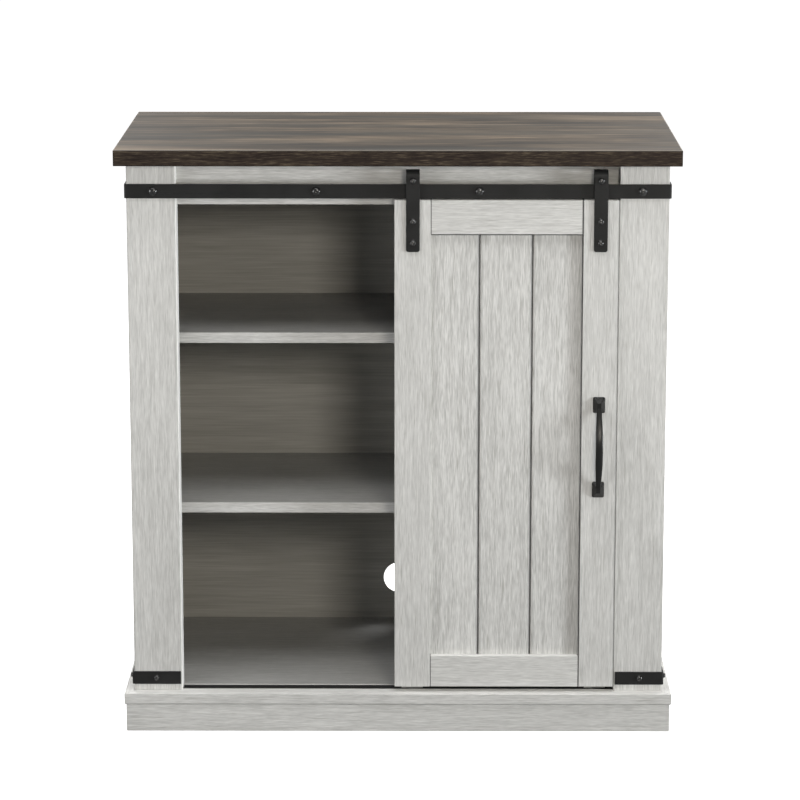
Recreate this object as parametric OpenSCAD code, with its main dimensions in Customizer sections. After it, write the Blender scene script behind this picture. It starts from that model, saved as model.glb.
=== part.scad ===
// Farmhouse sideboard: an open cabinet with two shelves behind one barn door, which hangs on
// rollers from a flat steel track. X runs along the width, the front faces -Y, Z is up, and
// the origin is on the ground under the middle of the cabinet.

/* [Overall] */
// Width of the top board
top_w = 825; // [800:5:900]
// Depth of the top board
top_d = 450; // [430:5:500]
// Height of the top surface above the ground
height = 880; // [860:5:920]
// Thickness of the top board
top_t = 24; // [18:1:28]
// How far the top board reaches past each side
side_overhang = 16.5; // [10:0.5:25]
// How far the top board reaches past the back
back_overhang = 9; // [0:1:15]

/* [Carcass] */
// Thickness of the side panels, shelves, floor and back rails
board_t = 16; // [16:1:19]
// Thickness of the hardboard back
back_t = 3; // [3:1:6]
// Diameter of the cable hole in the back
cable_hole_d = 50; // [30:5:70]
// Height of the cable hole's centre above the floor panel
cable_hole_rise = 67; // [60:1:120]
// Height of the upper shelf's top face
upper_shelf_z = 594.5; // [560:0.5:620]
// Height of the lower shelf's top face
lower_shelf_z = 334; // [300:0.5:380]

/* [Face frame] */
// How far the stile fronts stand behind the top board's front edge
face_setback = 25; // [22:1:30]
// Width of each stile
stile_w = 72; // [60:1:76]
// Thickness of each stile
stile_t = 36; // [34:1:40]
// Height of the top rail
rail_h = 62; // [60:1:70]
// How far the top rail stands behind the stile fronts
rail_recess = 20; // [20:1:22]

/* [Base] */
// Height of the plinth boards
plinth_h = 42; // [38:1:60]
// Thickness of the plinth boards
plinth_t = 11.5; // [10:0.5:14]
// Thickness of the cap moulding on top of the plinth
cap_t = 17; // [14:1:20]
// How far the cap moulding stands out from the sides
cap_side_reach = 14; // [14:0.5:16]
// How far the cap moulding stands out from the stile fronts
cap_front_reach = 20; // [18:1:22]

/* [Door] */
// Width of the door
door_w = 328; // [324:1:345]
// Thickness of the door
door_t = 20; // [18:1:20]
// Width of the door's stiles
door_frame_w = 53; // [48:1:60]
// Height of the door's lower rail
door_rail_h = 49; // [48:0.5:60]
// Height of the door's upper rail
door_top_rail_h = 51.5; // [48:0.5:60]
// Width of the middle plank
centre_plank_w = 77.6; // [70:0.1:80]
// Thickness of the three planks
plank_t = 9; // [8:1:9]
// Distance between the handle's screws
handle_pitch = 128; // [96:32:160]

/* [Track] */
// Height of the flat track bar
bar_h = 21; // [20:1:24]
// Thickness of the flat track bar
bar_t = 3; // [3:0.5:4]
// Width of the hanger straps
strap_w = 20; // [18:1:24]
// Radius of a roller at the bottom of its groove
groove_r = 5.7; // [5.7:0.1:6]

/* [Hidden] */
$fn = 48;
half_w = top_w / 2 - side_overhang;
inner_w = half_w - board_t;
open_w = half_w - stile_w;
under_top = height - top_t;
// how far the door stands in front of the stiles, and the handle in front of the door
door_proud = 8;
handle_reach = 27;
// the handle stands out past the top board, and the origin is centred on both together
handle_overhang = door_proud + handle_reach - face_setback;
front_y = (handle_overhang - top_d) / 2;
top_back_y = front_y + top_d;
face_y = front_y + face_setback;
stile_back_y = face_y + stile_t;
rail_y = face_y + rail_recess;
rail_z = under_top - rail_h;
side_back_y = top_back_y - back_overhang;
back_y = side_back_y - board_t - back_t;
cap_top = plinth_h + cap_t;
floor_z = cap_top + 1;
floor_bottom = floor_z - board_t;
floor_front_y = face_y + 27;
shelf_front_y = face_y + 63;
groove_deep = 6;
side_mid = inner_w + board_t / 2;
stretcher_h = 60;

// outer faces of the cap moulding and of the plinth boards below it
cap_x = half_w + cap_side_reach;
cap_y = face_y - cap_front_reach;
cap_bevel = 1.5;
plinth_x = half_w + plinth_t;
plinth_y = cap_y + cap_side_reach - plinth_t;

// the slotted channel that keeps the foot of the door in line
channel_w = 19;
channel_h = 8;
channel_floor = 2;
slot_w = 6;
slot_mid = floor_front_y - channel_w / 2;
channel_screw_x = [-250, -60, 250];

// the door at its closed end, against the right stile
door_front = face_y - door_proud;
door_back = door_front + door_t;
door_right = open_w - 1;
door_left = door_right - door_w;
door_z = cap_top + 8;
bar_top = under_top - 29;
bar_bottom = bar_top - bar_h;
door_top = bar_bottom - 1.5;
panel_left = door_left + door_frame_w;
panel_right = door_right - door_frame_w;
panel_z = door_z + door_rail_h;
panel_top = door_top - door_top_rail_h;
plank_front = door_front + 9;
plank_back = plank_front + plank_t;
plank_in = 7.5;
plank_mid = (panel_left + panel_right) / 2;
plank_joint_x = [plank_mid - centre_plank_w / 2, plank_mid + centre_plank_w / 2];
door_stile_mid = [door_left + door_frame_w / 2, door_right - door_frame_w / 2];

// hangers and rollers
strap_t = 3;
hanger_x = [door_left + 27, door_right - 27];
axle_d = 6;
axle_z = bar_top + 6;
flange_r = 8.5;
hook_top = axle_z + 15;
hook_back = door_front + 23;
hook_foot = axle_z - 8.5;
strap_foot = axle_z - 104.5;
strap_foot_r = 3.5;
strap_bolt_z = [axle_z - 59.7, axle_z - 91.4];
track_bolt_x = [-357, -119, 119, 357];
track_bolt_z = bar_bottom + bar_h / 2;
rail_bite = 13;

// corner straps at the foot of the stiles
corner_z = [cap_top + 10, cap_top + 29.5];
corner_bolt_x = open_w + 38.5;
corner_bolt_y = face_y + 14;
leg_back_y = face_y + 28;

// handle
grip_w = 11;
grip_t = 7;
grip_flat = 46;
neck_w = 7;
neck_t = 5.5;
foot_size = [18, 9, 24];
foot_rim = 2;
handle_z = [door_z + 305, door_z + 305 + handle_pitch];

// joinery
dowel_d = 8;
door_dowel_d = 6;
fit = 0.2;
cam_d = 15;
cam_deep = 13;
cam_reach = 34;
cam_y = [-115, 135];
floor_dowel_y = [-60, 80];
stile_dowel_z = [150, (cap_top + under_top) / 2, under_top - 92];
rail_dowel_z = [rail_z + 15, rail_z + 47];
pin_d = 5;
pin_y = [shelf_front_y + 40, back_y - 40];

// ---- shared shapes ----

// a block given by its two ends along X, Y and Z
module slab(x, y, z)
    translate([x[0], y[0], z[0]]) cube([x[1] - x[0], y[1] - y[0], z[1] - z[0]]);

module rod_x(d, x, y, z)
    translate([x[0], y, z]) rotate([0, 90, 0]) cylinder(d = d, h = x[1] - x[0]);

module rod_y(d, x, y, z)
    translate([x, y[0], z]) rotate([-90, 0, 0]) cylinder(d = d, h = y[1] - y[0]);

module rod_z(d, x, y, z)
    translate([x, y, z[0]]) cylinder(d = d, h = z[1] - z[0]);

// children are drawn for the right-hand side and mirrored for the left
module on_side(side) {
    if (side < 0) mirror([1, 0, 0]) children();
    else children();
}

// a domed head of diameter d and height h that stands on the XY plane
module dome(d, h) {
    r = (d * d / 4 + h * h) / (2 * h);
    intersection() {
        translate([0, 0, h - r]) sphere(r = r);
        cylinder(d = d + 1, h = h + 1);
    }
}

// a round head on a thin flange, facing -Y, with its shank running back along +Y
module flanged_bolt(flange_d, head_d, head_h, shank_d, shank_l) {
    flange_h = 1;
    rotate([90, 0, 0]) {
        cylinder(d = flange_d, h = flange_h);
        translate([0, 0, flange_h - 0.1]) dome(head_d, head_h - flange_h + 0.1);
        translate([0, 0, -shank_l]) cylinder(d = shank_d, h = shank_l + 0.1);
    }
}

// a flat strap that wraps a square corner at half_w and face_y, seen from above
module wrap_outline(inner_end, leg_end) {
    translate([inner_end, face_y - bar_t]) square([half_w - inner_end, bar_t]);
    translate([half_w, face_y]) square([bar_t, leg_end - face_y]);
    intersection() {
        translate([half_w, face_y]) circle(r = bar_t);
        translate([half_w, face_y - bar_t]) square(bar_t);
    }
}

// ---- where the joinery runs: the same rods cut the holes, a little wider, and fill them ----

module top_cam_bolt_rods(extra = 0) {
    for (y = cam_y) {
        rod_z(7 + extra, side_mid, y, [under_top - cam_reach, under_top]);
        rod_z(5 + extra, side_mid, y, [under_top - 0.1, under_top + 10 + extra]);
    }
}

module floor_cam_bolt_rods(extra = 0) {
    mid_z = floor_bottom + board_t / 2;
    for (y = cam_y) {
        rod_x(7 + extra, [inner_w - cam_reach, inner_w], y, mid_z);
        rod_x(5 + extra, [inner_w - 0.1, inner_w + 10 + extra], y, mid_z);
    }
}

module top_cam_discs(extra = 0) {
    for (y = cam_y) rod_x(cam_d + extra, [inner_w, inner_w + cam_deep + extra], y, under_top - cam_reach);
}

module floor_cam_discs(extra = 0) {
    for (y = cam_y)
        rod_z(cam_d + extra, inner_w - cam_reach, y, [floor_bottom, floor_bottom + cam_deep + extra]);
}

module stile_dowel_rods(extra = 0) {
    reach = 15 + extra;
    ends = [stile_back_y - reach, stile_back_y + reach];
    for (z = stile_dowel_z) rod_y(dowel_d + extra, side_mid, ends, z);
}

module rail_dowel_rods(extra = 0) {
    reach = 18 + extra;
    ends = [open_w - reach, open_w + reach];
    for (z = rail_dowel_z) rod_x(dowel_d + extra, ends, rail_y + board_t / 2, z);
}

module side_dowel_rods(extra = 0) {
    ends = [inner_w - 17 - extra, inner_w + 12 + extra];
    back_mid = side_back_y - board_t / 2;
    for (y = floor_dowel_y) rod_x(dowel_d + extra, ends, y, floor_bottom + board_t / 2);
    for (z = [under_top - 42, under_top - 18, 18, 42]) rod_x(dowel_d + extra, ends, back_mid, z);
}

module shelf_pin_rods(extra = 0) {
    for (top = [upper_shelf_z, lower_shelf_z], y = pin_y)
        rod_x(pin_d + extra, [inner_w - 9, inner_w + 9 + extra], y, top - board_t - pin_d / 2);
}

module door_dowel_rods(extra = 0) {
    reach = 15 + extra;
    mid_y = door_front + door_t / 2;
    for (x = [panel_left, panel_right], z = [door_z + 14, door_z + 34, door_top - 34, door_top - 12])
        rod_x(door_dowel_d + extra, [x - reach, x + reach], mid_y, z);
}

module strap_bolt_rods(extra = 0) {
    for (x = hanger_x, z = strap_bolt_z) rod_y(5 + extra, x, [door_front - strap_t, door_back - 4], z);
}

module guide_screw_rods(extra = 0) {
    ends = [door_back - 10, door_back + 5];
    for (x = door_stile_mid, dx = [-9, 9]) rod_y(3 + extra, x + dx, ends, door_z + 19);
}

module handle_screw_rods(extra = 0) {
    for (z = handle_z) rod_y(4 + extra, door_stile_mid[1], [door_front - 6 - extra, door_back], z);
}

// ---- top and carcass ----

module top_board() color("#5a4f47") difference() {
    slab([-top_w / 2, top_w / 2], [front_y, top_back_y], [under_top, height]);
    for (side = [-1, 1]) on_side(side) top_cam_bolt_rods(fit);
}

module side_panel(side) color("#d2d0cb") on_side(side) difference() {
    slab([inner_w, half_w], [stile_back_y, side_back_y], [0, under_top]);
    slab([inner_w - 1, inner_w + groove_deep + fit], [back_y, back_y + back_t + fit],
        [floor_bottom, under_top + 1]);
    top_cam_bolt_rods(fit);
    top_cam_discs(fit);
    floor_cam_bolt_rods(fit);
    stile_dowel_rods(fit);
    side_dowel_rods(fit);
    shelf_pin_rods(fit);
}

module left_side_panel() side_panel(-1);

module right_side_panel() side_panel(1);

module back_panel() color("#a9a59d") difference() {
    reach = inner_w + groove_deep;
    slab([-reach, reach], [back_y, back_y + back_t], [floor_bottom, under_top]);
    rod_y(cable_hole_d, 0, [back_y - 1, back_y + back_t + 1], floor_z + cable_hole_rise);
}

// the front corners are cut down so that the stiles stand flat on them
module floor_panel() color("#cfcdc8") difference() {
    slab([-inner_w, inner_w], [floor_front_y, back_y], [floor_bottom, floor_z]);
    for (side = [-1, 1]) on_side(side) {
        slab([open_w, inner_w + 1], [floor_front_y - 1, stile_back_y], [cap_top, floor_z + 1]);
        floor_cam_bolt_rods(fit);
        floor_cam_discs(fit);
        side_dowel_rods(fit);
    }
}

module shelf(top_z) color("#cfcdc8")
    slab([1 - inner_w, inner_w - 1], [shelf_front_y, back_y - 1], [top_z - board_t, top_z]);

module shelf_upper() shelf(upper_shelf_z);

module shelf_lower() shelf(lower_shelf_z);

module back_rail(z) color("#cfcdc8") difference() {
    slab([-inner_w, inner_w], [side_back_y - board_t, side_back_y], z);
    for (side = [-1, 1]) on_side(side) side_dowel_rods(fit);
}

module back_top_rail() back_rail([under_top - stretcher_h, under_top]);

module back_bottom_rail() back_rail([0, floor_z]);

// ---- face frame ----

module front_stile(side) color("#d2d0cb") on_side(side) difference() {
    slab([open_w, half_w], [face_y, stile_back_y], [cap_top, under_top]);
    stile_dowel_rods(fit);
    rail_dowel_rods(fit);
    rod_y(5 + fit, track_bolt_x[3], [face_y - 1, face_y + 25 + fit], track_bolt_z);
    corner_bolt_holes(fit);
}

module left_front_stile() front_stile(-1);

module right_front_stile() front_stile(1);

module top_rail() color("#d2d0cb") difference() {
    slab([-open_w, open_w], [rail_y, rail_y + board_t], [rail_z, under_top]);
    for (side = [-1, 1]) on_side(side) {
        rail_dowel_rods(fit);
        rod_y(5 + fit, track_bolt_x[2], [rail_y - 1, rail_y + rail_bite + fit], track_bolt_z);
    }
}

// ---- base ----

// the sloping cut along the lower edge of the cap
module cap_bevel_front() rotate([90, 0, 90]) translate([0, 0, -cap_x - 1])
    linear_extrude(2 * cap_x + 2)
        polygon([[cap_y - 1, plinth_h - 1], [cap_y - 1, plinth_h + cap_bevel + 1],
            [cap_y + cap_bevel + 1, plinth_h - 1]]);

module cap_bevel_side() rotate([90, 0, 0]) translate([0, 0, -side_back_y - 1])
    linear_extrude(side_back_y - cap_y + 2)
        polygon([[cap_x + 1, plinth_h - 1], [cap_x + 1, plinth_h + cap_bevel + 1],
            [cap_x - cap_bevel - 1, plinth_h - 1]]);

// the front cap is a wide board that also carries the stiles and the door's guide channel
module cap_front() color("#d2d0cb") difference() {
    translate([0, 0, plinth_h]) linear_extrude(cap_t)
        polygon([[-cap_x, cap_y], [cap_x, cap_y],
            [half_w, cap_y + cap_side_reach], [half_w, floor_front_y],
            [-half_w, floor_front_y], [-half_w, cap_y + cap_side_reach]]);
    cap_bevel_front();
    slab([-open_w, open_w], [floor_front_y - channel_w, floor_front_y + 1],
        [cap_top - channel_h, cap_top + 1]);
    for (x = channel_screw_x) rod_z(2.5 + fit, x, slot_mid, [cap_top - channel_h - 4.7, cap_top]);
}

module cap_side(side) color("#d2d0cb") on_side(side) difference() {
    translate([0, 0, plinth_h]) linear_extrude(cap_t)
        polygon([[cap_x, cap_y], [cap_x, side_back_y],
            [half_w, side_back_y], [half_w, cap_y + cap_side_reach]]);
    cap_bevel_side();
}

module cap_left() cap_side(-1);

module cap_right() cap_side(1);

module plinth_front() color("#cac8c3") linear_extrude(plinth_h)
    polygon([[-plinth_x, plinth_y], [plinth_x, plinth_y],
        [half_w, plinth_y + plinth_t], [-half_w, plinth_y + plinth_t]]);

module plinth_side(side) color("#cac8c3") on_side(side) linear_extrude(plinth_h)
    polygon([[plinth_x, plinth_y], [plinth_x, side_back_y],
        [half_w, side_back_y], [half_w, plinth_y + plinth_t]]);

module plinth_left() plinth_side(-1);

module plinth_right() plinth_side(1);

// glued blocks that carry the stiles' load down through the cap
module corner_blocks() color("#b8a888") for (side = [-1, 1]) on_side(side)
    slab([half_w - 40, half_w], [plinth_y + plinth_t, floor_front_y], [0, plinth_h]);

// ---- track and straps ----

module track_bar() color("#262626") difference() {
    translate([0, 0, bar_bottom]) linear_extrude(bar_h) for (side = [-1, 1])
        on_side(side) wrap_outline(0, leg_back_y);
    for (x = track_bolt_x) rod_y(6.4, x, [face_y - bar_t - 1, face_y + 1], track_bolt_z);
}

module track_spacers() color("#262626") for (x = [track_bolt_x[1], track_bolt_x[2]]) difference() {
    rod_y(12, x, [face_y, rail_y], track_bolt_z);
    rod_y(6.4, x, [face_y - 1, rail_y + 1], track_bolt_z);
}

// the outer pair screws into the stiles, the inner pair reaches the set-back rail
module track_bolts() color("#1e1e1e") for (x = track_bolt_x) {
    grip = bar_t + (abs(x) > open_w ? 25 : rail_recess + rail_bite);
    translate([x, face_y - bar_t, track_bolt_z]) flanged_bolt(13.6, 10, 4, 5, grip);
}

module corner_bolt_holes(extra = 0) {
    mid_z = (corner_z[0] + corner_z[1]) / 2;
    rod_y(4 + extra, corner_bolt_x, [face_y - bar_t - 1, face_y + 20 + extra], mid_z);
    rod_x(4 + extra, [half_w - 20 - extra, half_w + bar_t + 1], corner_bolt_y, mid_z);
}

module corner_strap(side) color("#262626") on_side(side) difference() {
    translate([0, 0, corner_z[0]]) linear_extrude(corner_z[1] - corner_z[0])
        wrap_outline(open_w + 2, leg_back_y);
    corner_bolt_holes(0.4);
}

module corner_strap_left() corner_strap(-1);

module corner_strap_right() corner_strap(1);

module corner_strap_bolts() color("#1e1e1e") for (side = [-1, 1]) on_side(side) {
    mid_z = (corner_z[0] + corner_z[1]) / 2;
    translate([corner_bolt_x, face_y - bar_t, mid_z]) flanged_bolt(9, 8, 3.5, 4, bar_t + 20);
    translate([half_w + bar_t, corner_bolt_y, mid_z]) rotate([0, 0, 90])
        flanged_bolt(9, 8, 3.5, 4, bar_t + 20);
}

module guide_channel() color("#1c1c1c") difference() {
    slab([1 - open_w, open_w - 1], [floor_front_y - channel_w, floor_front_y],
        [cap_top - channel_h, cap_top]);
    slab([-open_w, open_w], [slot_mid - slot_w / 2, slot_mid + slot_w / 2],
        [cap_top - channel_h + channel_floor, cap_top + 1]);
    for (x = channel_screw_x) rod_z(2.9, x, slot_mid, [cap_top - channel_h - 1, cap_top]);
}

module guide_channel_screws() color("#8a8a8a") for (x = channel_screw_x) {
    seat = cap_top - channel_h + channel_floor;
    rod_z(2.5, x, slot_mid, [seat - 6.5, seat + 0.1]);
    translate([x, slot_mid, seat]) dome(5, 1.2);
}

// ---- hidden hardware ----

module shelf_pins() color("#9a9a9a") for (side = [-1, 1]) on_side(side) shelf_pin_rods();

module carcass_dowels() color("#c9a56b") for (side = [-1, 1]) on_side(side) {
    stile_dowel_rods();
    rail_dowel_rods();
    side_dowel_rods();
}

// each lock is a disc with a keyway that swallows the end of its bolt
module cam_locks() color("#8f8f8f") for (side = [-1, 1]) on_side(side) {
    difference() {
        top_cam_discs();
        top_cam_bolt_rods(0.6);
    }
    difference() {
        floor_cam_discs();
        floor_cam_bolt_rods(0.6);
    }
}

module cam_bolts() color("#8f8f8f") for (side = [-1, 1]) on_side(side) {
    top_cam_bolt_rods();
    floor_cam_bolt_rods();
}

// ---- door ----

module plank_groove() slab([panel_left - plank_in - 0.5, panel_right + plank_in + 0.5],
    [plank_front, plank_back + fit], [panel_z - plank_in - 0.5, panel_top + plank_in + 0.5]);

module door_part(x, z) difference() {
    slab(x, [door_front, door_back], z);
    plank_groove();
    door_dowel_rods(fit);
    strap_bolt_rods(fit);
    guide_screw_rods(fit);
    handle_screw_rods(fit);
}

module door_left_stile() color("#d6d4cf") door_part([door_left, panel_left], [door_z, door_top]);

module door_right_stile() color("#d6d4cf") door_part([panel_right, door_right], [door_z, door_top]);

module door_top_rail() color("#d6d4cf") door_part([panel_left, panel_right], [panel_top, door_top]);

module door_bottom_rail() color("#d6d4cf") door_part([panel_left, panel_right], [door_z, panel_z]);

// plank number 0, 1 or 2 from the left, with V edges and a tongue where it meets its neighbour
module plank(number) {
    vee = 2.4;
    tongue = 3;
    mid_y = (plank_front + plank_back) / 2;
    x0 = number == 0 ? panel_left - plank_in : plank_joint_x[number - 1];
    x1 = number == 2 ? panel_right + plank_in : plank_joint_x[number];
    color("#d0cec9") translate([0, 0, panel_z - plank_in])
        linear_extrude(panel_top - panel_z + 2 * plank_in) {
            difference() {
                translate([x0, plank_front]) square([x1 - x0, plank_t]);
                if (number > 0) {
                    polygon([[x0 - 1, plank_front - 1], [x0 + vee + 1, plank_front - 1],
                        [x0 - 1, plank_front + vee + 1]]);
                    translate([x0 - 1, mid_y - tongue / 2 - 0.1]) square([5.5, tongue + 0.2]);
                }
                if (number < 2)
                    polygon([[x1 + 1, plank_front - 1], [x1 - vee - 1, plank_front - 1],
                        [x1 + 1, plank_front + vee + 1]]);
            }
            if (number < 2) translate([x1 - 0.1, mid_y - tongue / 2]) square([4.1, tongue]);
        }
}

module plank_left() plank(0);

module plank_centre() plank(1);

module plank_right() plank(2);

module door_dowels() color("#c9a56b") door_dowel_rods();

// ---- handle: a cast bow between two pyramid feet ----

// one side view of a foot: a thin rim, then slopes up to a blunt top
module foot_outline(width)
    polygon([[-width / 2, 0], [width / 2, 0], [width / 2, -foot_rim], [width / 6, -foot_size[1]],
        [-width / 6, -foot_size[1]], [-width / 2, -foot_rim]]);

module handle_foot(z) translate([door_stile_mid[1], door_front, z]) intersection() {
    linear_extrude(foot_size[2], center = true) foot_outline(foot_size[0]);
    rotate([0, -90, 0]) linear_extrude(foot_size[0], center = true) foot_outline(foot_size[2]);
}

// how far the grip's centre line stands out from the door, for t from -1 to 1 along it
function bow(t) = 5 + (handle_reach - grip_t / 2 - 5) * cos(90 * t);

function grip_half_t(t) = (neck_t + (grip_t - neck_t) * cos(90 * t)) / 2;

// the bow's side view, narrowed by its front view
module handle_grip() {
    half = handle_pitch / 2 - 3;
    steps = 16;
    fractions = [for (i = [0:steps]) 2 * i / steps - 1];
    outer = [for (t = fractions) [bow(t) + grip_half_t(t), half * t]];
    inner = [for (i = [steps:-1:0]) let(t = fractions[i]) [bow(t) - grip_half_t(t), half * t]];
    translate([door_stile_mid[1], door_front, (handle_z[0] + handle_z[1]) / 2])
        rotate([90, 0, -90]) intersection() {
            linear_extrude(grip_w, center = true) polygon(concat(outer, inner));
            rotate([0, 90, 0]) linear_extrude(2 * handle_reach)
                polygon([[-neck_w / 2, -half], [neck_w / 2, -half], [grip_w / 2, -grip_flat / 2],
                    [grip_w / 2, grip_flat / 2], [neck_w / 2, half], [-neck_w / 2, half],
                    [-grip_w / 2, grip_flat / 2], [-grip_w / 2, -grip_flat / 2]]);
        }
}

module handle() color("#1b1b1b") difference() {
    union() {
        for (z = handle_z) handle_foot(z);
        handle_grip();
    }
    handle_screw_rods(fit);
}

module handle_screws() color("#8a8a8a") {
    handle_screw_rods();
    for (z = handle_z) translate([door_stile_mid[1], door_back, z]) rotate([-90, 0, 0]) dome(8, 2.5);
}

// ---- hangers, guides and rollers ----

// what is cut off a strap's foot to round its two corners
module strap_foot_cuts(x) for (side = [-1, 1]) translate([x, 0, strap_foot]) on_side(side)
    difference() {
        slab([strap_w / 2 - strap_foot_r, strap_w / 2 + 1], [door_front - strap_t - 1, door_front + 1],
            [-1, strap_foot_r]);
        rod_y(2 * strap_foot_r, strap_w / 2 - strap_foot_r,
            [door_front - strap_t - 2, door_front + 2], strap_foot_r);
    }

// the strap runs up the door, past the track, over the roller and down behind it
module hanger_strap(x) color("#262626") difference() {
    bend = 8;
    inner = bend - strap_t;
    translate([x - strap_w / 2, 0, 0]) rotate([90, 0, 90]) linear_extrude(strap_w) difference() {
        union() {
            translate([door_front - strap_t, strap_foot]) square([strap_t, hook_top - bend - strap_foot]);
            translate([door_front - strap_t + bend, hook_top - strap_t])
                square([hook_back - door_front + strap_t - 2 * bend, strap_t]);
            translate([hook_back - strap_t, hook_foot]) square([strap_t, hook_top - bend - hook_foot]);
            for (y = [door_front - strap_t + bend, hook_back - bend])
                translate([y, hook_top - bend]) circle(r = bend);
        }
        translate([door_front, hook_top - 2 * bend - 1])
            square([hook_back - strap_t - door_front, bend + 1]);
        translate([door_front + inner, hook_top - bend - 1])
            square([hook_back - door_front - strap_t - 2 * inner, bend - strap_t + 1]);
        for (y = [door_front + inner, hook_back - strap_t - inner])
            translate([y, hook_top - bend]) circle(r = inner);
    }
    rod_y(axle_d + fit, x, [door_front - strap_t - 1, hook_back + 1], axle_z);
    for (z = strap_bolt_z) rod_y(5 + fit, x, [door_front - strap_t - 1, door_front + 1], z);
    strap_foot_cuts(x);
}

module hanger_strap_left() hanger_strap(hanger_x[0]);

module hanger_strap_right() hanger_strap(hanger_x[1]);

module hanger_bolts() color("#1e1e1e") for (x = hanger_x, z = strap_bolt_z)
    translate([x, door_front - strap_t, z]) flanged_bolt(10, 8, 4, 5, strap_t + door_t - 4);

module roller_axles() color("#1e1e1e") for (x = hanger_x)
    translate([x, door_front - strap_t, axle_z])
        flanged_bolt(10, 8, 4, axle_d, hook_back - door_front + strap_t + 3);

module axle_nuts() color("#3a3a3a") for (x = hanger_x) difference() {
    translate([x, hook_back, axle_z]) rotate([-90, 0, 0]) cylinder(d = 11.5, h = 3, $fn = 6);
    rod_y(axle_d + fit, x, [hook_back - 1, hook_back + 4], axle_z);
}

// nylon tongues behind the door's foot that run in the slotted channel
module door_guides() color("#e6e4de") for (x = door_stile_mid) difference() {
    union() {
        slab([x - 16, x + 16], [door_back, door_back + 5], [cap_top + 3, door_z + 27]);
        slab([x - 16, x + 16], [slot_mid - 2, slot_mid + 2], [cap_top - 4, cap_top + 9]);
    }
    guide_screw_rods(fit);
}

module door_guide_screws() color("#8a8a8a") {
    guide_screw_rods();
    for (x = door_stile_mid, dx = [-9, 9])
        translate([x + dx, door_back + 5, door_z + 19]) rotate([-90, 0, 0]) dome(6, 2);
}

// a flanged wheel with a groove for the bar's top edge and a hub that spaces it in its hook
module roller(x) color("#2b2b2b") translate([x, door_front, axle_z]) rotate([-90, 0, 0]) {
    bar_mid = face_y - bar_t / 2 - door_front;
    groove = bar_t + 0.6;
    rotate_extrude() difference() {
        union() {
            translate([0, 0.4]) square([5, hook_back - strap_t - door_front - 0.8]);
            translate([0, bar_mid - groove / 2 - 2.7]) square([flange_r, groove + 5.4]);
        }
        translate([groove_r, bar_mid - groove / 2]) square([flange_r, groove]);
        translate([-1, -1]) square([1 + axle_d / 2 + 0.08, 40]);
    }
}

module roller_left() roller(hanger_x[0]);

module roller_right() roller(hanger_x[1]);

top_board();
left_side_panel();
right_side_panel();
back_panel();
floor_panel();
shelf_upper();
shelf_lower();
left_front_stile();
right_front_stile();
top_rail();
back_top_rail();
back_bottom_rail();
plinth_front();
plinth_left();
plinth_right();
cap_front();
cap_left();
cap_right();
corner_blocks();
track_bar();
track_spacers();
track_bolts();
corner_strap_left();
corner_strap_right();
corner_strap_bolts();
guide_channel();
guide_channel_screws();
shelf_pins();
carcass_dowels();
cam_locks();
cam_bolts();
door_left_stile();
door_right_stile();
door_top_rail();
door_bottom_rail();
plank_left();
plank_centre();
plank_right();
door_dowels();
handle();
handle_screws();
hanger_strap_left();
hanger_strap_right();
hanger_bolts();
roller_axles();
axle_nuts();
door_guides();
door_guide_screws();
roller_left();
roller_right();
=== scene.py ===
"""Looks for a farmhouse sideboard with one sliding barn door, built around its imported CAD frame.

Everything is in metres in the frame's own axes: X along the width, the front faces -Y, Z is up.
"""

import math

import bmesh
import bpy
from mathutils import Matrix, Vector


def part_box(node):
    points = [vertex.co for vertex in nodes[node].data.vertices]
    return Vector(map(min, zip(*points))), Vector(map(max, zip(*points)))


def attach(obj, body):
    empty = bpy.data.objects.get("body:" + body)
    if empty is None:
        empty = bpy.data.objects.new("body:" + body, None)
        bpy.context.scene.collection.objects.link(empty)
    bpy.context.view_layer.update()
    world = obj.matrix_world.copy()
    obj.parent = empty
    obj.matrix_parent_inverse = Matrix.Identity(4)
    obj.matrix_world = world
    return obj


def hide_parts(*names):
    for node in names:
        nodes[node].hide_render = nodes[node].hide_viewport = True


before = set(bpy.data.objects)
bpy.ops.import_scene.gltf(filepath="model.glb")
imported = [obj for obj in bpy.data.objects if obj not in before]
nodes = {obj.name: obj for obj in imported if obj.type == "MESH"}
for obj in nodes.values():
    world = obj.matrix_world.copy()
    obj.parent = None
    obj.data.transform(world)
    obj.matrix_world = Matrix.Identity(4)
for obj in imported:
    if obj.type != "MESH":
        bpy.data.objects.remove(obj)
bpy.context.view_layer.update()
MM = 0.001


# ---- camera ----

def add_camera():
    """A long lens in front of the cabinet and a little above it, turned slightly left."""
    top_low, top_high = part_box("top_board")
    distance = 4.716
    rise = 0.641
    sideways = 0.0276
    tilt_down = 12.09
    turn_left = 0.295
    data = bpy.data.cameras.new("camera")
    data.sensor_width = 36.0
    data.lens = 147.8
    data.clip_end = 200.0
    camera = bpy.data.objects.new("camera", data)
    camera.location = (sideways, top_low.y - distance, top_high.z + rise)
    camera.rotation_euler = (math.radians(90 - tilt_down), 0, math.radians(turn_left))
    bpy.context.scene.collection.objects.link(camera)
    bpy.context.scene.camera = camera


add_camera()


# ---- node helpers ----

def add_node(tree, kind, inputs=None, **settings):
    """A shader node. A value in inputs that is a socket is linked, any other is set."""
    made = tree.nodes.new("ShaderNode" + kind)
    for key, value in settings.items():
        setattr(made, key, value)
    for key, value in (inputs or {}).items():
        if isinstance(value, bpy.types.NodeSocket):
            tree.links.new(value, made.inputs[key])
        else:
            made.inputs[key].default_value = value
    return made


def calculate(tree, operation, a, b=0.0, clamp=False):
    """One Math node. Either value may be a number or a socket."""
    return add_node(tree, "Math", {0: a, 1: b}, operation=operation, use_clamp=clamp).outputs[0]


def spread(tree, value, start, end, low=0.0, high=1.0):
    """value between start and end, rescaled to between low and high."""
    made = add_node(tree, "MapRange", {"Value": value, "From Min": start, "From Max": end,
                                       "To Min": low, "To Max": high})
    return made.outputs["Result"]


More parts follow.
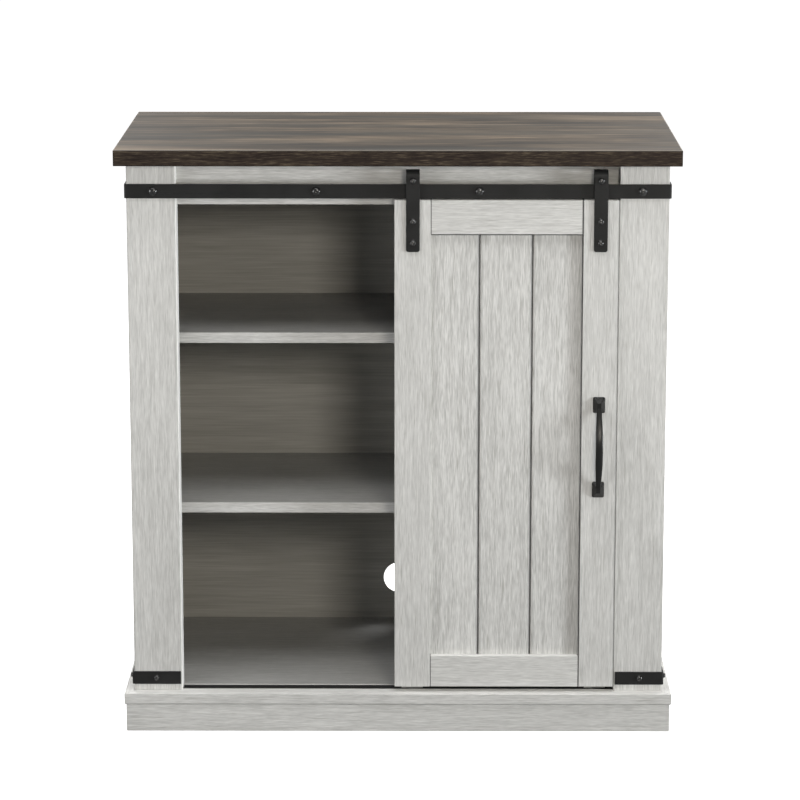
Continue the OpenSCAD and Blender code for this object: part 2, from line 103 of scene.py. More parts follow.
# the Mix node has sockets for each kind of value, and these are its colour ones
MIX_SHARE = 0
MIX_COLOUR_A = 6
MIX_COLOUR_B = 7
MIX_COLOUR_RESULT = 2


def mix_colours(tree, share, a, b, blend="MIX"):
    """Colour a where share is 0 and b where it is 1, or the two blended in another way."""
    made = add_node(tree, "Mix", {MIX_SHARE: share}, data_type="RGBA", blend_type=blend)
    for index, colour in ((MIX_COLOUR_A, a), (MIX_COLOUR_B, b)):
        if isinstance(colour, bpy.types.NodeSocket):
            tree.links.new(colour, made.inputs[index])
        else:
            made.inputs[index].default_value = (*colour, 1.0)
    return made.outputs[MIX_COLOUR_RESULT]


def ramp(tree, value, stops):
    """A colour ramp. stops are (position, colour) in rising order."""
    made = add_node(tree, "ValToRGB", {"Fac": value})
    elements = made.color_ramp.elements
    while len(elements) < len(stops):
        elements.new(1.0)
    for element, (position, colour) in zip(elements, stops):
        element.position = position
        element.color = (*colour, 1.0)
    return made.outputs["Color"]


def noise(tree, vector, detail=2.0, roughness=0.5, scale=1.0):
    """Smooth noise from 0 to 1, mostly near 0.5."""
    made = add_node(tree, "TexNoise", {"Vector": vector, "Scale": scale, "Detail": detail,
                                       "Roughness": roughness})
    return made.outputs["Fac"]


def new_material(name):
    """An empty material with its node tree, surface shader and output."""
    material = bpy.data.materials.new(name)
    material.use_nodes = True
    tree = material.node_tree
    tree.nodes.clear()
    shader = add_node(tree, "BsdfPrincipled")
    output = add_node(tree, "OutputMaterial")
    tree.links.new(shader.outputs["BSDF"], output.inputs["Surface"])
    return material, tree, shader


def feed(tree, shader, **inputs):
    """Links or sets the shader's inputs, written with _ for a space."""
    for key, value in inputs.items():
        socket = shader.inputs[key.replace("_", " ")]
        if isinstance(value, bpy.types.NodeSocket):
            tree.links.new(value, socket)
        else:
            socket.default_value = value


def bump(tree, height, distance, strength=1.0):
    """A shading normal from a height between 0 and 1, worth distance in metres."""
    made = add_node(tree, "Bump", {"Height": height, "Distance": distance, "Strength": strength})
    return made.outputs["Normal"]


# ---- wood ----

GRAIN_TURN = {"X": (0, math.radians(90), 0), "Y": (math.radians(90), 0, 0), "Z": (0, 0, 0)}


class Grain:
    """Noise layers drawn out along the grain. The seed gives each board its own figure."""

    def __init__(self, tree, along, seed, waver=0.004):
        self.tree = tree
        place = add_node(tree, "TexCoord").outputs["Object"]
        shift = (seed * 1.37 % 7.0, seed * 2.71 % 5.0, seed * 3.93 % 11.0)
        turned = add_node(tree, "Mapping", {"Vector": place, "Location": shift,
                                            "Rotation": GRAIN_TURN[along]}).outputs["Vector"]
        drift = add_node(tree, "TexNoise", {"Vector": turned, "Scale": 3.5, "Detail": 1.0})
        centred = add_node(tree, "VectorMath", {0: drift.outputs["Color"], 1: (0.5, 0.5, 0.5)},
                           operation="SUBTRACT").outputs[0]
        scaled = add_node(tree, "VectorMath", {0: centred, 1: (waver, waver, 0)},
                          operation="MULTIPLY").outputs[0]
        self.place = add_node(tree, "VectorMath", {0: turned, 1: scaled},
                              operation="ADD").outputs[0]

    def layer(self, across, along, detail=2.0, roughness=0.5):
        """across and along are how many features there are in a metre."""
        stretched = add_node(self.tree, "VectorMath",
                             {0: self.place, 1: (across, across, along)},
                             operation="MULTIPLY").outputs[0]
        return noise(self.tree, stretched, detail, roughness)


def blend_layers(tree, layers):
    """The weighted sum of layers, each counted from its middle, around 0.5."""
    total = 0.5
    for value, weight in layers:
        part = calculate(tree, "MULTIPLY", calculate(tree, "SUBTRACT", value, 0.5), weight)
        total = calculate(tree, "ADD", part, total)
    return calculate(tree, "ADD", total, 0.0, clamp=True)


def facing(tree, axis):
    """The chosen part of the surface's own direction, in the object's axes."""
    normal = add_node(tree, "TexCoord").outputs["Normal"]
    return add_node(tree, "SeparateXYZ", {0: normal}).outputs[axis]


WASH_THIN = (0.465, 0.462, 0.446)
WASH_THICK = (0.745, 0.742, 0.722)
PORE = (0.30, 0.29, 0.26)


def whitewash(name, along, seed, contrast=1.0, tones=()):
    """Grey-white wash over an open grain: soft patches, fine streaks and thin darker pores.
    Each of tones is (axis, start, end, tone): as the part of a face's direction along the axis
    goes from start to end, its colour goes to that tone."""
    material, tree, shader = new_material(name)
    grain = Grain(tree, along, seed, waver=0.002)
    patches = grain.layer(14, 3, 2.0)
    streaks = grain.layer(290, 12, 2.0, 0.6)
    fibre = grain.layer(620, 40, 2.0, 0.6)
    hairs = grain.layer(1000, 75, 2.0)
    shade = blend_layers(tree, [(patches, 0.55 * contrast), (streaks, 0.85 * contrast),
                                (fibre, 1.3 * contrast), (hairs, 0.9 * contrast)])
    wash = mix_colours(tree, shade, WASH_THIN, WASH_THICK)
    pore_noise = grain.layer(560, 26, 1.0)
    thick = grain.layer(45, 9, 1.0)
    edge = spread(tree, thick, 0.3, 0.7, 0.72, 0.58)
    pores = calculate(tree, "MULTIPLY", calculate(tree, "SUBTRACT", pore_noise, edge), 9.0,
                      clamp=True)
    pore_share = calculate(tree, "MULTIPLY", pores, 0.33 * contrast)
    colour = mix_colours(tree, pore_share, wash, PORE)
    # the tones darken and lighten the colour by a face's direction; most of them are painted shade
    # and painted highlights
    for axis, start, end, tone in tones:
        share = spread(tree, facing(tree, axis), start, end)
        colour = mix_colours(tree, share, colour, (tone, tone, tone), "MULTIPLY")
    relief = calculate(tree, "SUBTRACT", fibre, calculate(tree, "MULTIPLY", pores, 0.6))
    feed(tree, shader, Base_Color=colour,
         Roughness=spread(tree, fibre, 0.3, 0.7, 0.50, 0.64), Specular_IOR_Level=0.35,
         Normal=bump(tree, relief, 0.12 * MM, 0.5))
    return material


TOP_FACE_BROWNS = [(0.0, (0.034, 0.028, 0.022)), (0.35, (0.066, 0.052, 0.038)),
                   (0.65, (0.110, 0.086, 0.061)), (1.0, (0.200, 0.152, 0.106))]
TOP_FACE_GREY = (0.064, 0.062, 0.053)
TOP_EDGE_BROWNS = [(0.0, (0.010, 0.006, 0.005)), (0.4, (0.024, 0.016, 0.012)),
                   (0.65, (0.041, 0.030, 0.021)), (1.0, (0.095, 0.072, 0.050))]
TOP_PORE = (0.012, 0.008, 0.006)
TOP_ARRIS_SHADE = (0.002, 0.002, 0.002)
TOP_ARRIS_HIGHLIGHT = (0.42, 0.385, 0.34)


def dark_laminate(name, seed):
    """Brown wood-print laminate with grey and tan streaks, a darker, redder edge band, and
    between them an arris with a painted highlight on top and a painted shade line just below."""
    material, tree, shader = new_material(name)
    grain = Grain(tree, "X", seed, waver=0.02)
    bands = grain.layer(15, 1.7, 2.0)
    streaks = grain.layer(48, 4.5, 4.0, 0.7)
    lines = grain.layer(190, 12, 3.0, 0.6)
    flecks = grain.layer(620, 50, 3.0, 0.7)
    hue = grain.layer(24, 2.0, 2.0)
    face_shade = blend_layers(tree, [(bands, 2.8), (streaks, 2.5), (lines, 0.9)])
    face = ramp(tree, face_shade, TOP_FACE_BROWNS)
    greyer = calculate(tree, "MULTIPLY", spread(tree, hue, 0.48, 0.66), 0.5)
    face = mix_colours(tree, greyer, face, TOP_FACE_GREY)
    edge_shade = blend_layers(tree, [(streaks, 0.7), (lines, 1.0), (flecks, 2.4)])
    edge = ramp(tree, edge_shade, TOP_EDGE_BROWNS)
    looking_up = facing(tree, "Z")
    colour = mix_colours(tree, spread(tree, looking_up, 0.6, 0.9), edge, face)
    pores = spread(tree, grain.layer(420, 26, 1.0), 0.60, 0.70)
    colour = mix_colours(tree, calculate(tree, "MULTIPLY", pores, 0.35), colour, TOP_PORE)
    # the arris: a painted highlight on its upper part and a painted shade line on its lower part
    arris = calculate(tree, "MULTIPLY", spread(tree, looking_up, 0.02, 0.06),
                      spread(tree, looking_up, 0.90, 0.98, 1.0, 0.0))
    arris_colour = ramp(tree, looking_up, [(0.37, TOP_ARRIS_SHADE), (0.44, TOP_ARRIS_HIGHLIGHT)])
    colour = mix_colours(tree, arris, colour, arris_colour)
    feed(tree, shader, Base_Color=colour, Specular_IOR_Level=0.15,
         Roughness=spread(tree, streaks, 0.3, 0.7, 0.52, 0.64),
         Normal=bump(tree, lines, 0.08 * MM, 0.4))
    return material


def hardboard(name, seed):
    """Printed grey-white grain towards the inside, raw brown hardboard behind."""
    material, tree, shader = new_material(name)
    grain = Grain(tree, "X", seed)
    patches = grain.layer(7, 2.2, 2.0)
    streaks = grain.layer(70, 3, 3.0, 0.6)
    fibre = grain.layer(420, 12, 2.0)
    shade = blend_layers(tree, [(patches, 0.9), (streaks, 1.2), (fibre, 1.0)])
    printed = mix_colours(tree, shade, (0.35, 0.34, 0.31), (0.59, 0.575, 0.535))
    place = add_node(tree, "TexCoord").outputs["Object"]
    flakes = noise(tree, place, 4.0, 0.65, 160.0)
    raw = mix_colours(tree, flakes, (0.13, 0.07, 0.035), (0.30, 0.18, 0.10))
    behind = spread(tree, facing(tree, "Y"), 0.4, 0.6)
    feed(tree, shader, Base_Color=mix_colours(tree, behind, printed, raw),
         Roughness=spread(tree, flakes, 0.3, 0.7, 0.55, 0.72),
         Normal=bump(tree, fibre, 0.08 * MM, 0.4))
    return material


def bare_wood(name, along, seed):
    """Unfinished pine or beech: pale straw bands with fine flecks."""
    material, tree, shader = new_material(name)
    grain = Grain(tree, along, seed)
    bands = grain.layer(120, 5, 3.0)
    flecks = grain.layer(700, 60, 2.0)
    shade = blend_layers(tree, [(bands, 1.4), (flecks, 0.9)])
    feed(tree, shader, Base_Color=mix_colours(tree, shade, (0.42, 0.27, 0.14),
                                              (0.70, 0.53, 0.33)),
         Roughness=spread(tree, flecks, 0.3, 0.7, 0.55, 0.7),
         Normal=bump(tree, flecks, 0.1 * MM, 0.5))
    return material


# ---- metal and plastic ----

def coated_metal(name, colour, roughness, texture=900.0, relief=0.03, metallic=0.0,
                 specular=0.5):
    """Paint, plating or casting skin on metal: a fine pebbled surface and slightly uneven
    gloss. texture is pebbles in a metre, and relief is their height in millimetres."""
    material, tree, shader = new_material(name)
    place = add_node(tree, "TexCoord").outputs["Object"]
    pebbles = noise(tree, place, 3.0, 0.6, texture)
    clouds = noise(tree, place, 3.0, 0.5, 25.0)
    lighter = tuple(min(1.0, c * 1.6 + 0.003) for c in colour)
    shade = blend_layers(tree, [(pebbles, 0.8), (clouds, 1.2)])
    feed(tree, shader, Base_Color=mix_colours(tree, shade, colour, lighter),
         Roughness=spread(tree, clouds, 0.3, 0.7, roughness - 0.06, roughness + 0.06),
         Metallic=metallic, Normal=bump(tree, pebbles, relief * MM, 0.6),
         Specular_IOR_Level=specular)
    return material


def nylon(name, colour):
    """Moulded plastic with a matt, faintly mottled skin."""
    material, tree, shader = new_material(name)
    place = add_node(tree, "TexCoord").outputs["Object"]
    skin = noise(tree, place, 2.0, 0.5, 700.0)
    cloud = noise(tree, place, 2.0, 0.5, 60.0)
    darker = tuple(c * 0.82 for c in colour)
    feed(tree, shader, Base_Color=mix_colours(tree, cloud, darker, colour),
         Roughness=spread(tree, skin, 0.3, 0.7, 0.45, 0.6),
         Normal=bump(tree, skin, 0.02 * MM, 0.5))
    return material


# ---- materials for the CAD nodes ----

BLACK_STEEL = coated_metal("black_powder_coat", (0.012, 0.012, 0.012), 0.42, specular=0.2)
BLACK_FASTENER = coated_metal("black_fastener", (0.003, 0.003, 0.003), 0.14, 700.0, 0.004,
                              specular=1.0)
BLACK_IRON = coated_metal("black_cast_iron", (0.005, 0.005, 0.0045), 0.30, 420.0, 0.05,
                          specular=0.35)
ZINC = coated_metal("zinc_plate", (0.42, 0.42, 0.43), 0.32, 500.0, 0.01, metallic=1.0)
BLACK_NYLON = nylon("black_nylon", (0.018, 0.018, 0.018))
PALE_NYLON = nylon("natural_nylon", (0.72, 0.71, 0.66))

GRAIN_ALONG = {
    "X": ["floor_panel", "shelf_upper", "shelf_lower", "top_rail", "back_top_rail",
          "back_bottom_rail", "plinth_front", "cap_front", "door_top_rail",
          "door_bottom_rail"],
    "Y": ["plinth_left", "plinth_right", "cap_left", "cap_right"],
    "Z": ["left_side_panel", "right_side_panel", "left_front_stile", "right_front_stile",
          "door_left_stile", "door_right_stile", "plank_left", "plank_centre", "plank_right"],
}
METAL_NODES = {
    "track_bar": BLACK_STEEL, "track_spacers": BLACK_STEEL, "corner_strap_left": BLACK_STEEL,
    "corner_strap_right": BLACK_STEEL, "hanger_strap_left": BLACK_STEEL,
    "hanger_strap_right": BLACK_STEEL, "axle_nuts": BLACK_FASTENER,
    "guide_channel": BLACK_NYLON, "roller_left": BLACK_NYLON, "roller_right": BLACK_NYLON,
    "door_guides": PALE_NYLON, "guide_channel_screws": ZINC, "door_guide_screws": ZINC,
    "handle_screws": ZINC, "shelf_pins": ZINC, "cam_locks": ZINC, "cam_bolts": ZINC,
}


def dress(node, material):
    """Gives a CAD node its material in every slot."""
    slots = nodes[node].data.materials
    if len(slots) == 0:
        slots.append(material)
    for index in range(len(slots)):
        slots[index] = material


SHARP = math.radians(40)


def mark_long_edges(shortest):
    """A node group that gives bevel weight to sharp edges of at least the shortest length, so
    that the rims of holes stay as they are."""
    group = bpy.data.node_groups.new("mark_long_edges", "GeometryNodeTree")
    for direction in ("INPUT", "OUTPUT"):
        group.interface.new_socket("Geometry", in_out=direction,
                                   socket_type="NodeSocketGeometry")
    source = group.nodes.new("NodeGroupInput")
    result = group.nodes.new("NodeGroupOutput")
    angle = group.nodes.new("GeometryNodeInputMeshEdgeAngle").outputs["Unsigned Angle"]
    ends = group.nodes.new("GeometryNodeInputMeshEdgeVertices").outputs
    length = add_node(group, "VectorMath", {0: ends["Position 1"], 1: ends["Position 2"]},
                      operation="DISTANCE").outputs["Value"]
    long_enough = calculate(group, "GREATER_THAN", length, shortest)
    sharp_enough = calculate(group, "GREATER_THAN", angle, SHARP)
    store = group.nodes.new("GeometryNodeStoreNamedAttribute")
    store.data_type = "FLOAT"
    store.domain = "EDGE"
    store.inputs["Name"].default_value = "bevel_weight_edge"
    weight = calculate(group, "MULTIPLY", long_enough, sharp_enough)
    group.links.new(source.outputs[0], store.inputs["Geometry"])
    group.links.new(weight, store.inputs["Value"])
    group.links.new(store.outputs["Geometry"], result.inputs[0])
    return group


LONG_EDGES = mark_long_edges(3.0 * MM)


def soften_edges(node, width, rims=False):
    """Rounds a CAD node's sharp edges with modifiers, so that its mesh is left alone. The rims
    of its holes are rounded too if rims is set."""
    thing = nodes[node]
    weld = thing.modifiers.new("weld", "WELD")
    weld.merge_threshold = 0.001 * MM
    flat = thing.modifiers.new("flat", "DECIMATE")
    flat.decimate_type = "DISSOLVE"
    flat.angle_limit = math.radians(0.5)
    if not rims:
        thing.modifiers.new("long_edges", "NODES").node_group = LONG_EDGES
    edge = thing.modifiers.new("edge", "BEVEL")
    edge.width = width
    edge.segments = 2
    edge.limit_method = "ANGLE" if rims else "WEIGHT"
    edge.angle_limit = SHARP
    edge.use_clamp_overlap = False
    shading = thing.modifiers.new("shading", "WEIGHTED_NORMAL")
    shading.keep_sharp = True


# ---- what each board's wash is like ----

PLANKS = ["plank_left", "plank_centre", "plank_right"]
SHELVES = ["floor_panel", "shelf_upper", "shelf_lower"]
CAPS = ["cap_front", "cap_left", "cap_right"]
CONTRAST = {node: 1.5 for node in PLANKS}

# how far edges are rounded
ROUNDING = {node: 2.0 * MM for node in PLANKS}
ROUNDING.update({"door_top_rail": 1.5 * MM, "door_bottom_rail": 1.5 * MM,
                 "door_right_stile": 1.5 * MM, "left_front_stile": 1.2 * MM})
USUAL_ROUNDING = 0.8 * MM

# tones by the way a face looks: painted shade in joints, grooves and on arrises, painted
# highlights on faces turned to the light, painted shade on the shelves' tops and painted light on
# the caps' tops;
# one arris is only made darker. An arris's side face gets its own colour back.
# painted shade: dark lines where the door's rails meet its stiles, and under its top rail where
# the sunk planks lie in its shadow
JOINT_SHADE_TONE = 0.06
# painted shade along the inner arris of the door's right stile, the dark line where it stands over
# the planks
ARRIS_SHADE_TONE = 0.15
# darker on the arris of the door's right stile that faces +X
RIGHT_ARRIS_TONE = 0.4
# painted shade on the plank groove walls that face +X
GROOVE_SHADE_TONE = 0.3
JOINT_SHADED_ENDS = [("X", -0.2, -0.5, JOINT_SHADE_TONE), ("X", 0.2, 0.5, JOINT_SHADE_TONE)]
TONES = {
    # painted shade on the top rail's ends and on its lower arris, the shadow it casts on the
    # planks
    "door_top_rail": JOINT_SHADED_ENDS + [("Z", -0.1, -0.35, JOINT_SHADE_TONE)],
    # painted highlight on the bottom rail's upper arris
    "door_bottom_rail": JOINT_SHADED_ENDS + [("Z", 0.2, 0.5, 1.3)],
    # painted shade on the inner arris of the door's right stile; its flat side face gets its
    # colour back
    "door_right_stile": [("X", -0.1, -0.35, ARRIS_SHADE_TONE), ("X", -0.93, -0.99, 1 / ARRIS_SHADE_TONE),
                         # the +X arris made darker; its flat side face gets its colour back
                         ("X", 0.2, 0.45, RIGHT_ARRIS_TONE), ("X", 0.93, 0.99, 1 / RIGHT_ARRIS_TONE)],
    # painted highlight on the inner side of the left front stile, which faces the light from the
    # right
    "left_front_stile": [("X", 0.2, 0.5, 1.45)],
}
# planks: painted shade on the groove walls that face +X and a painted highlight on those that face
# -X
TONES.update({node: [("X", 0.1, 0.6, GROOVE_SHADE_TONE), ("X", -0.5, -0.65, 1.25)] for node in PLANKS})
# painted shade on the upper faces of the floor panel and shelves
TONES.update({node: [("Z", 0.6, 0.9, 0.66)] for node in SHELVES})
# painted light on the upper faces of the plinth caps
TONES.update({node: [("Z", 0.5, 0.8, 1.4)] for node in CAPS})

seed = 1
for along, members in GRAIN_ALONG.items():
    for node in members:
        dress(node, whitewash("whitewash_" + node, along, seed, CONTRAST.get(node, 1.0),
                              TONES.get(node, ())))
        soften_edges(node, ROUNDING.get(node, USUAL_ROUNDING))
        seed += 1

dress("top_board", dark_laminate("brown_laminate", 5))
soften_edges("top_board", 1.6 * MM)
dress("back_panel", hardboard("printed_hardboard", 11))
dress("corner_blocks", bare_wood("pine", "Z", 3))
dress("carcass_dowels", bare_wood("beech_carcass", "X", 7))
dress("door_dowels", bare_wood("beech_door", "X", 9))
for node, material in METAL_NODES.items():
    dress(node, material)


# ---- turned pieces: bolts with button heads and hex sockets ----

AROUND = 48
CROWN_STEPS = 8


def ring_radius(size, corners, angle):
    """Radius at an angle of a circle, or of a polygon with size as its distance to a flat."""
    if corners == 0:
        return size
    sector = 2 * math.pi / corners
    return size / math.cos((angle % sector) - sector / 2)


def skin(mesh, rings):
    """Joins rings of the same count with faces, and closes both ends."""
    count = len(rings[0])
    for lower, upper in zip(rings, rings[1:]):
        for step in range(count):
            after = (step + 1) % count
            mesh.faces.new((lower[step], lower[after], upper[after], upper[step]))
    mesh.faces.new(rings[0])
    mesh.faces.new(tuple(reversed(rings[-1])))


def turn(mesh, base, axis, sections):
    """Adds a closed body of rings to mesh. sections are (height, size, corners), from one end
    to the other along axis from base."""
    axis = Vector(axis)
    side = axis.orthogonal().normalized()
    other = axis.cross(side)
    rings = []
    for height, size, corners in sections:
        ring = []
        for step in range(AROUND):
            angle = 2 * math.pi * step / AROUND
            radius = ring_radius(size, corners, angle)
            offset = side * math.cos(angle) * radius + other * math.sin(angle) * radius
            ring.append(mesh.verts.new(Vector(base) + axis * height + offset))
        rings.append(ring)
    skin(mesh, rings)


def button_head(shank_r, shank_l, flange_r, flange_h, head_r, head_h, socket):
    """Sections of a button-head bolt from the end of its shank to the floor of its socket."""
    chamfer = 0.4 * MM
    rim = 0.25 * MM
    crown_r = min(head_r, flange_r - rim)
    flat_r = socket * 1.28
    socket_rim = 0.15 * MM
    socket_depth = 1.8 * MM
    drill_tip = 0.3 * MM
    sections = [(-shank_l, shank_r - chamfer, 0), (-shank_l + chamfer, shank_r, 0),
                (0, shank_r, 0)]
    sections += [(0, flange_r - rim, 0), (rim, flange_r, 0), (flange_h - rim, flange_r, 0),
                 (flange_h, flange_r - rim, 0)]
    if head_r < flange_r - rim:
        sections.append((flange_h, head_r, 0))
    for step in range(1, CROWN_STEPS + 1):
        turned = math.radians(90 * step / CROWN_STEPS)
        size = flat_r + (crown_r - flat_r) * math.cos(turned)
        sections.append((flange_h + (head_h - flange_h) * math.sin(turned), size, 0))
    sections += [(head_h, socket + socket_rim, 6), (head_h - socket_rim, socket, 6),
                 (head_h - socket_depth, socket, 6),
                 (head_h - socket_depth - drill_tip, socket * 0.5, 0)]
    return sections


def finish_mesh(mesh, name, body, material, replaced, sharp=35):
    """Turns a bmesh into a piece that rides on a body and stands for a CAD node."""
    bmesh.ops.recalc_face_normals(mesh, faces=mesh.faces)
    data = bpy.data.meshes.new(name)
    mesh.to_mesh(data)
    mesh.free()
    data.shade_smooth()
    data.set_sharp_from_angle(angle=math.radians(sharp))
    data.materials.append(material)
    piece = bpy.data.objects.new(name, data)
    bpy.context.scene.collection.objects.link(piece)
    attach(piece, body)
    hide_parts(replaced)


def islands(node):
    """The lowest and highest corners of each separate solid of a CAD node."""
    copy = bmesh.new()
    copy.from_mesh(nodes[node].data)
    bmesh.ops.remove_doubles(copy, verts=copy.verts, dist=0.001 * MM)
    seen = set()
    boxes = []
    for start in copy.verts:
        if start in seen:
            continue
        seen.add(start)
        stack = [start]
        points = []
        while stack:
            vert = stack.pop()
            points.append(vert.co.copy())
            for edge in vert.link_edges:
                other = edge.other_vert(vert)
                if other not in seen:
                    seen.add(other)
                    stack.append(other)
        low = Vector(min(p[i] for p in points) for i in range(3))
        high = Vector(max(p[i] for p in points) for i in range(3))
        boxes.append((low, high))
    copy.free()
    return boxes


def add_bolts(node, body, flange_r, head_r, head_h, shank_r, socket):
    """Button-head bolts in place of a CAD node's plain ones, each the same length."""
    flange_h = 1 * MM
    mesh = bmesh.new()
    for low, high in islands(node):
        centre = (low + high) / 2
        size = high - low
        if size.y > size.x:
            base = Vector((centre.x, low.y + head_h, centre.z))
            axis = (0, -1, 0)
            shank_l = size.y - head_h
        else:
            outward = 1 if centre.x > 0 else -1
            tip = high.x if outward > 0 else low.x
            base = Vector((tip - outward * head_h, centre.y, centre.z))
            axis = (outward, 0, 0)
            shank_l = size.x - head_h
        turn(mesh, base, axis, button_head(shank_r, shank_l, flange_r, flange_h, head_r,
                                           head_h, socket))
    finish_mesh(mesh, node + "_turned", body, BLACK_FASTENER, node)


add_bolts("track_bolts", "cabinet", 6.8 * MM, 6.1 * MM, 4 * MM, 2.5 * MM, 1.7 * MM)
add_bolts("corner_strap_bolts", "cabinet", 4.5 * MM, 4 * MM, 3.5 * MM, 2 * MM, 1.4 * MM)
add_bolts("hanger_bolts", "door", 5 * MM, 4.6 * MM, 4 * MM, 2.5 * MM, 1.5 * MM)
add_bolts("roller_axles", "door", 5 * MM, 4.6 * MM, 4 * MM, 3 * MM, 1.5 * MM)


# ---- handle ----

FOOT_W = 18 * MM
FOOT_H = 24 * MM
FOOT_OUT = 9 * MM
GRIP_T = 7 * MM
GRIP_W = 11 * MM
GRIP_STEPS = 48
GRIP_AROUND = 20


def foot_ring(mesh, centre, width, height, corner):
    """A rounded rectangle that faces the front, around centre."""
    corner_steps = 6
    ring = []
    for quarter, (side, up) in enumerate(((1, 1), (-1, 1), (-1, -1), (1, -1))):
        for step in range(corner_steps + 1):
            angle = math.radians(90 * quarter + 90 * step / corner_steps)
            x = side * (width / 2 - corner) + corner * math.cos(angle)
            z = up * (height / 2 - corner) + corner * math.sin(angle)
            ring.append(mesh.verts.new(centre + Vector((x, 0, z))))
    return ring


def add_foot(mesh, base):
    """A low pyramid with a flat top on a thin square-edged plate. base is the middle of its
    back."""
    plate_t = 2 * MM
    shoulder = 0.6 * MM
    top_w = FOOT_W / 3
    top_h = FOOT_H / 3
    rings = []
    for out, width, height, corner in (
            (0, FOOT_W, FOOT_H, 2.6 * MM),
            (plate_t - shoulder, FOOT_W, FOOT_H, 2.6 * MM),
            (plate_t, FOOT_W - shoulder, FOOT_H - shoulder, 2.3 * MM),
            (FOOT_OUT - shoulder, top_w + shoulder, top_h + shoulder, 0.9 * MM),
            (FOOT_OUT, top_w, top_h, 0.6 * MM)):
        rings.append(foot_ring(mesh, base - Vector((0, out, 0)), width, height, corner))
    skin(mesh, rings)


def squared(value, size):
    """One coordinate of a rounded square section, from the cosine or sine of its angle."""
    return math.copysign(abs(value) ** 0.5, value) * size / 2


def add_grip(mesh, middle, foot_gap, reach):
    """The bow between the feet, widest along its middle. middle is on the door's face,
    foot_gap is between the feet's centres, and reach is how far the bow stands out."""
    neck_t = 5.5 * MM
    neck_w = 7 * MM
    start_out = 5 * MM
    half_flat = 23 * MM
    half = foot_gap / 2 - 3 * MM
    bow = reach - GRIP_T / 2 - start_out
    rings = []
    for index in range(GRIP_STEPS + 1):
        t = 2 * index / GRIP_STEPS - 1
        rise = math.cos(math.radians(90 * t))
        out = start_out + bow * rise
        thick = neck_t + (GRIP_T - neck_t) * rise
        from_flat = max(0.0, abs(t) * half - half_flat) / (half - half_flat)
        width = GRIP_W + (neck_w - GRIP_W) * from_flat
        slope = bow * math.radians(90) * -math.sin(math.radians(90 * t)) / half
        length = math.hypot(1, slope)
        ring = []
        for step in range(GRIP_AROUND):
            angle = 2 * math.pi * step / GRIP_AROUND
            across = squared(math.cos(angle), width)
            outward = squared(math.sin(angle), thick)
            ring.append(mesh.verts.new(middle + Vector((
                across, -out - outward / length, half * t - outward * slope / length))))
        rings.append(ring)
    skin(mesh, rings)


def add_handle():
    """A cast bow on two pyramid feet, in the CAD handle's place."""
    low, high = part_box("handle")
    face_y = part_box("door_right_stile")[0].y
    middle = Vector(((low.x + high.x) / 2, face_y, (low.z + high.z) / 2))
    foot_gap = high.z - low.z - FOOT_H
    mesh = bmesh.new()
    for end in (-1, 1):
        add_foot(mesh, middle + Vector((0, 0, end * foot_gap / 2)))
    add_grip(mesh, middle, foot_gap, face_y - low.y)
    finish_mesh(mesh, "handle_cast", "door", BLACK_IRON, "handle", 30)


add_handle()

for node in ("track_bar", "corner_strap_left", "corner_strap_right", "hanger_strap_left",
             "hanger_strap_right"):
    soften_edges(node, 0.4 * MM, rims=True)


# ---- floor, light and view ----

def add_floor():
    """A wide pale floor with a faint mottle, bright enough to read as plain white."""
    half = 30.0
    data = bpy.data.meshes.new("studio_floor")
    data.from_pydata([(-half, -half, 0), (half, -half, 0), (half, half, 0), (-half, half, 0)],
                     [], [(0, 1, 2, 3)])
    material, tree, shader = new_material("studio_floor")
    place = add_node(tree, "TexCoord").outputs["Object"]
    mottle = noise(tree, place, 3.0, 0.5, 2.0)
    colour = mix_colours(tree, mottle, (0.80, 0.80, 0.80), (0.84, 0.84, 0.84))
    feed(tree, shader, Base_Color=colour, Roughness=0.9, Specular_IOR_Level=0.0,
         Emission_Color=(1, 1, 1, 1), Emission_Strength=1.0)
    data.materials.append(material)
    floor = bpy.data.objects.new("studio_floor", data)
    floor.location.z = -0.2 * MM
    floor.visible_diffuse = False
    floor.visible_glossy = False
    bpy.context.scene.collection.objects.link(floor)


AIM = Vector((0, 0, 0.45))


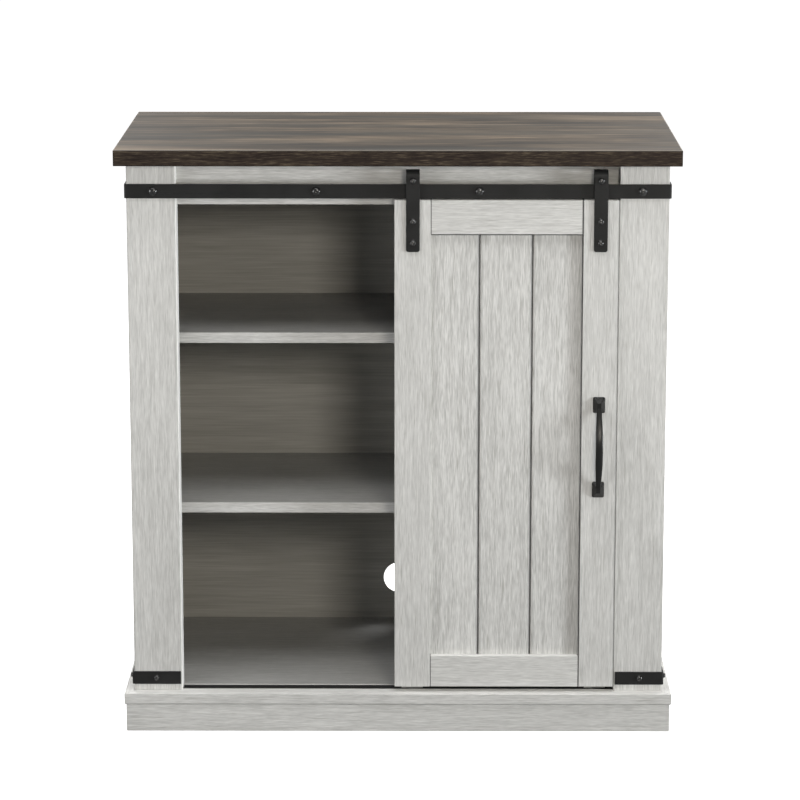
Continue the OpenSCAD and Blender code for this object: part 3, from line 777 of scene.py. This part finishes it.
def add_area(name, azimuth, elevation, distance, size, power, colour=(1, 1, 1)):
    """A rectangular soft light aimed at the middle of the cabinet. Azimuth is measured from
    straight in front towards +X."""
    turned = math.radians(azimuth)
    raised = math.radians(elevation)
    direction = Vector((math.sin(turned) * math.cos(raised),
                        -math.cos(turned) * math.cos(raised), math.sin(raised)))
    data = bpy.data.lights.new(name, "AREA")
    data.shape = "RECTANGLE"
    data.size = size[0]
    data.size_y = size[1]
    data.energy = power
    data.color = colour
    lamp = bpy.data.objects.new(name, data)
    lamp.location = AIM + direction * distance
    lamp.rotation_euler = direction.to_track_quat("Z", "Y").to_euler()
    lamp.visible_camera = False
    bpy.context.scene.collection.objects.link(lamp)
    return lamp


# how bright the white surroundings are to the camera, in reflections and as soft light
SEEN = 1.05
MIRRORED = 0.35
SCATTERED = 0.06


def add_light():
    """White surroundings, a low key from the right, fills, and lights from above and behind."""
    world = bpy.data.worlds.new("studio")
    world.use_nodes = True
    tree = world.node_tree
    background = tree.nodes["Background"]
    background.inputs["Color"].default_value = (1, 1, 1, 1)
    path = add_node(tree, "LightPath").outputs
    straight = calculate(tree, "MULTIPLY", path["Is Camera Ray"], SEEN)
    mirrored = calculate(tree, "MULTIPLY", path["Is Glossy Ray"], MIRRORED)
    scattered = calculate(tree, "MULTIPLY", path["Is Diffuse Ray"], SCATTERED)
    strength = calculate(tree, "ADD", straight, calculate(tree, "ADD", mirrored, scattered))
    tree.links.new(strength, background.inputs["Strength"])
    bpy.context.scene.world = world
    cool = (0.95, 0.98, 1.0)
    warm = (1.0, 0.94, 0.84)
    add_area("key", 67, 1.5, 8.0, (2.0, 1.0), 460, cool)
    add_area("front", 12, 18, 3.0, (0.5, 0.5), 19, warm)
    add_area("left_fill", -49, 7, 3.3, (1.6, 1.2), 33)
    add_area("overhead", 0, 74, 2.6, (2.5, 2.0), 53)
    add_area("rear_left", -150, 30, 3.5, (1.5, 1.5), 48)
    add_area("rear_right", 150, 30, 3.5, (1.5, 1.5), 48)
    bounce = add_area("bounce", 0, 0, 1.0, (2.0, 1.6), 5)
    bounce.location = (1.5, -1.1, 0.01)
    bounce.rotation_euler = (math.radians(180), 0, 0)


add_floor()
add_light()
bpy.context.scene.view_settings.view_transform = "Standard"
